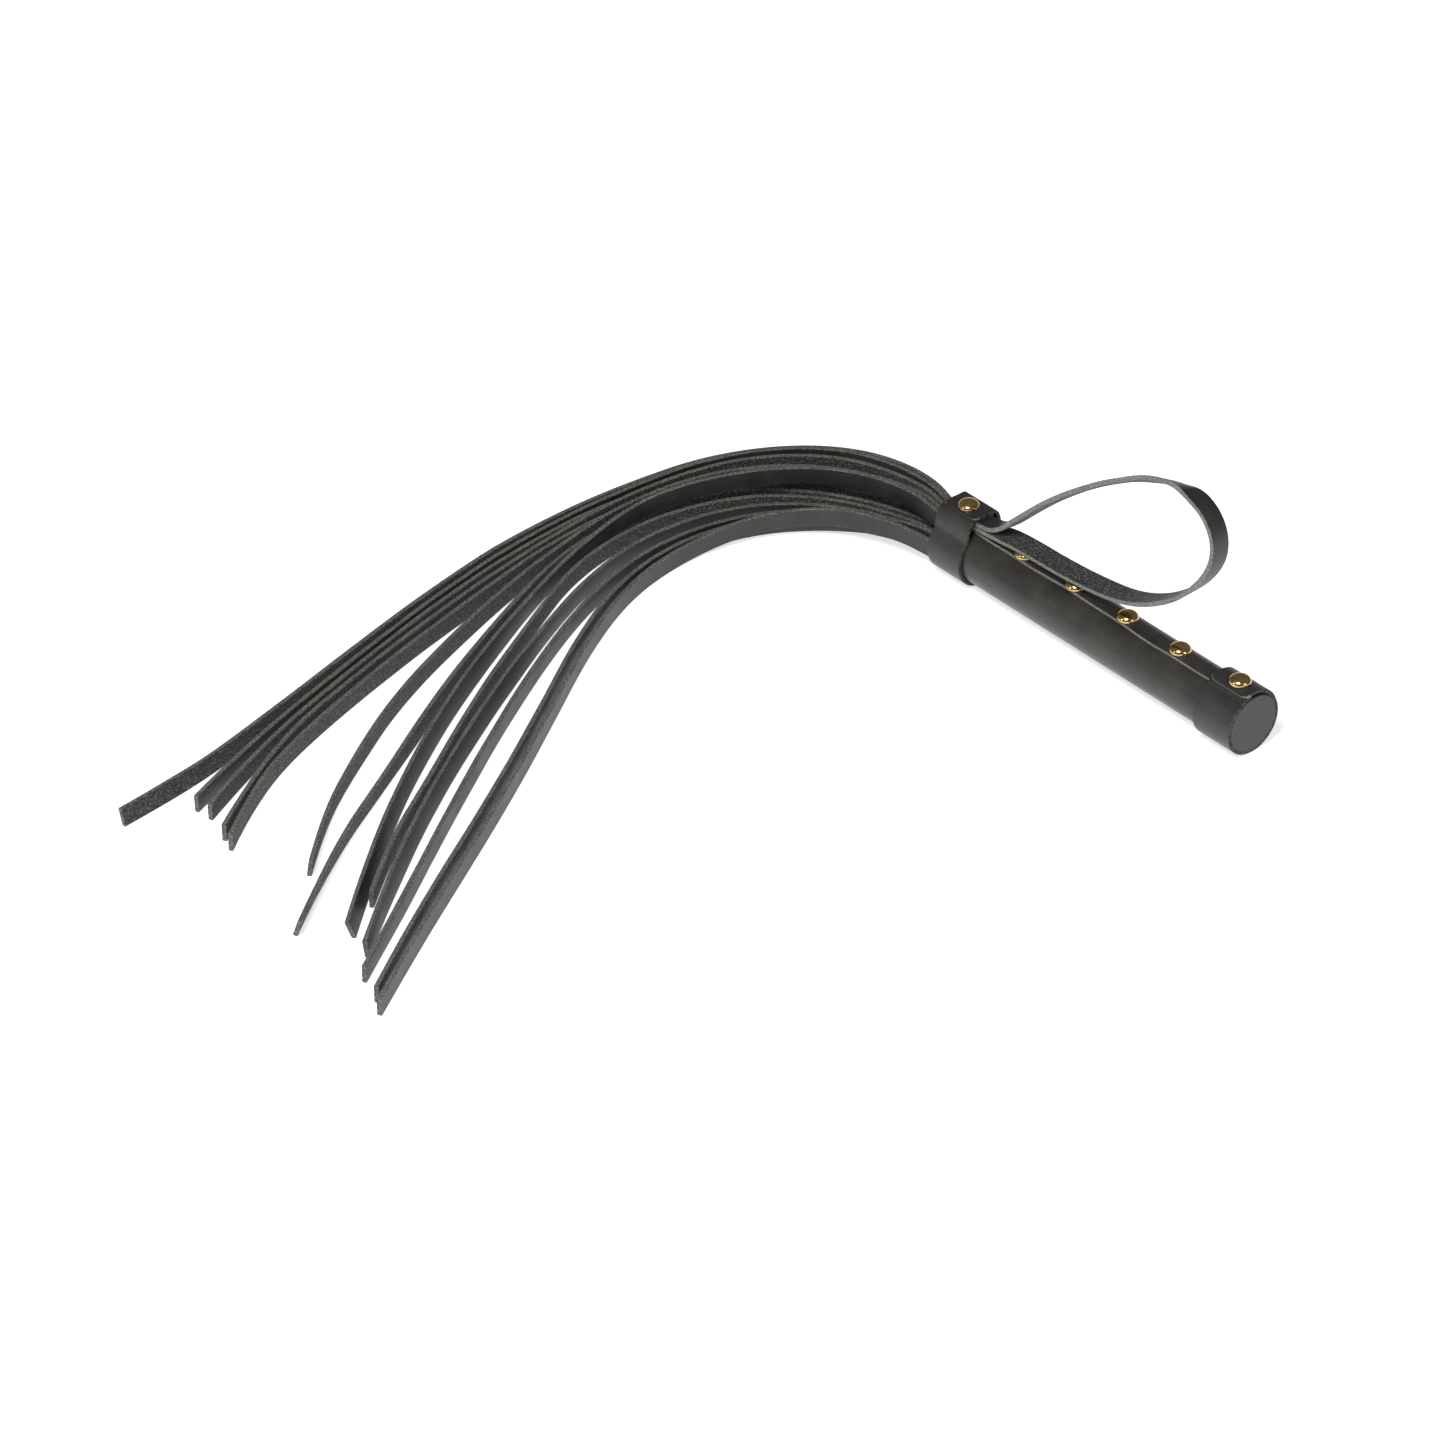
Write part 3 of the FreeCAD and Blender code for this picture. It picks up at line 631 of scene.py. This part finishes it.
def band(name, x_from, x_to, centre_line, corner, materials):
    """A leather band wrapped round the handle.

    centre_line holds (y, z, thickness) from the hidden end under the lap to the lap's
    cut end, whose two corners are rounded."""
    middle = (x_from + x_to) / 2
    half_length = (x_to - x_from) / 2
    points = [Vector((0, y, z)) for y, z, _ in centre_line]
    total = path_length(points)
    columns = BAND_COLUMNS
    bevel = BAND_BEVEL
    vertices, faces, slots, uvs = [], [], [], []
    travelled = 0.0
    last = len(points) - 1
    rows = []
    for index, point in enumerate(points):
        if index:
            travelled += (point - points[index - 1]).length
        before, after = points[max(0, index - 1)], points[min(last, index + 1)]
        tangent = (after - before).normalized()
        normal = tangent.cross(Vector((1, 0, 0))).normalized()
        left = total - travelled
        reach = half_length
        if left < corner:
            reach -= corner - math.sqrt(max(0.0, corner ** 2 - (corner - left) ** 2))
        thick = centre_line[index][2]
        if left < bevel:
            thick *= 0.55 + 0.45 * left / bevel
        profile = []
        for column in range(columns + 1):
            v = -1 + 2 * column / columns
            profile.append((v * (reach - bevel), thick / 2))
        profile += [(reach, thick / 2 - bevel), (reach, 0), (reach, -thick / 2 + bevel)]
        for column in range(columns + 1):
            v = 1 - 2 * column / columns
            profile.append((v * (reach - bevel), -thick / 2))
        profile += [(-reach, -thick / 2 + bevel), (-reach, 0), (-reach, thick / 2 - bevel)]
        rows.append((travelled, profile))
        vertices += [point + Vector((middle + x, 0, 0)) + normal * n for x, n in profile]
    count = len(rows[0][1])
    edge_columns = set(range(columns, columns + 4)) | set(range(count - 4, count))
    for row in range(last):
        for index in range(count):
            following = (index + 1) % count
            a, b = row * count + index, row * count + following
            faces.append((a, b, b + count, a + count))
            at_cut_end = total - rows[row][0] < 1.2 * corner
            # Rims take the second material, which is darkened partly as painted shade of the gap
            # against the grip; the cut end's corners take the third.
            slots.append((2 if at_cut_end else 1) if index in edge_columns else 0)
            first, second = rows[row], rows[row + 1]
            uvs.append(((first[0], first[1][index][0]), (first[0], first[1][following][0]),
                        (second[0], second[1][following][0]), (second[0], second[1][index][0])))
    for row in (0, last):
        for index in range(columns):
            a, b = row * count + index, row * count + index + 1
            back_a = row * count + 2 * columns + 4 - index
            back_b = back_a - 1
            quad = (a, b, back_b, back_a) if row else (b, a, back_a, back_b)
            faces.append(tuple(reversed(quad)))
            slots.append(2)
            uvs.append(END_FACE_UV)
    obj = add_mesh(name, vertices, faces, slots, materials, uvs)
    obj.data.set_sharp_from_angle(angle=math.radians(38))
    return obj


def make_end_collar():
    """Band round the butt whose nailed lap comes over from the far side."""
    leather = COLLAR_LEATHER
    line = []
    steps = 150
    first_angle, last_angle = 6.0, 360.0 + 21.0
    for index in range(steps + 1):
        angle = first_angle + (last_angle - first_angle) * index / steps
        under = eased(angle, [(6, WRAP_STEP), (20, WRAP_STEP), (30, 0), (290, 0),
                              (335, WRAP_STEP), (400, WRAP_STEP)])
        lap = eased(angle, [(318, 0), (358, 0.85 * MM)])
        thick = eased(angle, [(6, 0.75 * MM), (34, leather), (330, leather), (352, 1.55 * MM)])
        place = ring_point(0, angle, GRIP_RADIUS + under + lap + thick / 2)
        line.append((place.y, place.z, thick))
    obj = band("end_collar_band", END_COLLAR_FRONT, 0.0, line, 2.6 * MM,
               (COLLAR, SHADED_RIM_EDGE, PALE_EDGE))
    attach(obj, "handle")
    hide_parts("end_collar")


ARCH_COSINE = 0.95              # below this cosine the flat top over the straps rounds off


def make_front_collar():
    """Band over the falls' roots, arched over the strap ends and lapped on top."""
    leather = COLLAR_LEATHER
    line = []
    steps = 170
    first_angle, last_angle = -16.0, 360.0 + 17.0
    arch = STRAP_TOP + 0.2 * MM
    for index in range(steps + 1):
        angle = first_angle + (last_angle - first_angle) * index / steps
        wrapped = angle if angle < 180 else angle - 360
        turn = math.radians(wrapped)
        crown = arch / max(ARCH_COSINE, math.cos(turn))
        over = eased(abs(wrapped), [(0, 1.0), (16, 1.0), (48, 0.0)])
        base = GRIP_RADIUS + (crown - GRIP_RADIUS) * over
        lap = eased(angle, [(322, 0), (346, 0.9 * MM)])
        thick = eased(angle, [(-16, 0.8 * MM), (18, leather), (326, leather), (350, 1.3 * MM)])
        place = ring_point(0, angle, base + lap + thick / 2)
        line.append((place.y, place.z, thick))
    obj = band("front_collar_band", MOUTH, FRONT_COLLAR_BACK, line, 2.8 * MM,
               (COLLAR, SHADED_RIM_EDGE, PALE_EDGE))
    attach(obj, "handle")
    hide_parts("front_collar")


def make_nail(node):
    """A dome nail: pressed shell with a rolled rim, on its shank."""
    lowest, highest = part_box(node)
    centre = (lowest + highest) / 2
    radius = (highest.x - lowest.x) / 2
    height = NAIL_HEIGHT
    seat = highest.z - height
    profile = [(0.0, height)]
    dome_steps = 14
    for index in range(1, dome_steps + 1):
        turn = math.radians(90) * index / dome_steps
        profile.append((radius * math.sin(turn) ** 0.92, height * (math.cos(turn) ** 0.86)))
    tip = lowest.z - seat
    profile += [(radius * 0.985, -0.9 * NAIL_RIM), (radius * 0.93, -NAIL_RIM),
                (SHANK_RADIUS, 0.1 * MM), (SHANK_RADIUS, tip + SHANK_RADIUS), (0.0, tip)]
    around = 56
    vertices, faces = [], []
    for r, z in profile:
        for index in range(around):
            turn = 2 * math.pi * index / around
            vertices.append((centre.x + r * math.cos(turn), centre.y + r * math.sin(turn),
                             seat + z))
    for row in range(len(profile) - 1):
        for index in range(around):
            following = (index + 1) % around
            a, b = row * around + index, row * around + following
            faces.append((a, a + around, b + around, b))
    obj = add_mesh(f"{node}_dome", vertices, faces, None, (BRASS,))
    obj.data.set_sharp_from_angle(angle=math.radians(50))
    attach(obj, "handle")
    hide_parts(node)


def paint_node(node, material):
    """Gives a CAD node that stays visible its material."""
    for place in nodes[node].material_slots:
        place.material = material


# ---------------------------------------------------------------- stage

CAMERA_AZIMUTH = 49.64
CAMERA_ELEVATION = 35.34
CAMERA_DISTANCE = 2.203
CAMERA_AIM = Vector((-0.1404, -0.1639, 0.0))
FLOOR_REACH = 6.0                                  # metres from the middle to the floor's edge


def towards(azimuth, elevation):
    """The direction that looks back from the part at that azimuth and elevation."""
    a, e = math.radians(azimuth), math.radians(elevation)
    return Vector((math.sin(a) * math.cos(e), -math.cos(a) * math.cos(e), math.sin(e)))


def make_camera():
    data = bpy.data.cameras.new("camera")
    data.lens = 135
    data.sensor_width = 36
    data.clip_start, data.clip_end = 0.05, 60
    camera = bpy.data.objects.new("camera", data)
    back = towards(CAMERA_AZIMUTH, CAMERA_ELEVATION)
    camera.location = CAMERA_AIM + back * CAMERA_DISTANCE
    camera.rotation_mode = "QUATERNION"
    camera.rotation_quaternion = (-back).to_track_quat("-Z", "Y")
    bpy.context.scene.collection.objects.link(camera)
    bpy.context.scene.camera = camera


def make_light(name, azimuth, elevation, distance, width, height, watts):
    data = bpy.data.lights.new(name, "AREA")
    data.shape = "RECTANGLE"
    data.size, data.size_y = width, height
    data.energy = watts
    light = bpy.data.objects.new(name, data)
    back = towards(azimuth, elevation)
    light.location = CAMERA_AIM + back * distance
    light.rotation_mode = "QUATERNION"
    light.rotation_quaternion = (-back).to_track_quat("-Z", "Y")
    bpy.context.scene.collection.objects.link(light)


def make_stage():
    """A white floor, a pale world and three soft boxes."""
    m = Nodes("floor_white")
    speckle = m.noise(m.coordinates("Object"), 900, detail=2)
    m.link(m.ramp(speckle, [(0.3, (0.90, 0.90, 0.90)), (0.7, (0.92, 0.92, 0.92))]),
           m.shader.inputs["Base Color"])
    m.set(Roughness=0.9, Specular_IOR_Level=0.1, Emission_Color=(1, 1, 1, 1),
          Emission_Strength=0.62)
    reach = FLOOR_REACH
    corners = [(-reach, -reach, FLOOR), (reach, -reach, FLOOR), (reach, reach, FLOOR),
               (-reach, reach, FLOOR)]
    floor = add_mesh("floor", corners, [(0, 1, 2, 3)], None, (m.material,), smooth=False)
    world = bpy.data.worlds.new("studio")
    world.use_nodes = True
    world.node_tree.nodes["Background"].inputs["Color"].default_value = (1, 1, 1, 1)
    world.node_tree.nodes["Background"].inputs["Strength"].default_value = 0.16
    bpy.context.scene.world = world
    bpy.context.scene.view_settings.view_transform = "Standard"
    make_light("key_box", 28, 60, 1.6, 0.55, 0.55, 17)
    make_light("left_box", -18, 26, 1.5, 0.22, 0.40, 3.0)
    make_light("right_box", 102, 24, 1.5, 0.22, 0.40, 3.0)


# ---------------------------------------------------------------- build

make_camera()
make_stage()
for fall_number, fall_route in enumerate(FALL_ROUTES, start=1):
    make_fall(fall_number, fall_route)
make_strap()
make_grip()
make_end_collar()
make_front_collar()
for nail_node in [n for n in sorted(nodes) if "nail" in n]:
    make_nail(nail_node)
paint_node("end_cap", COLLAR)
paint_node("handle_core", WOOD)
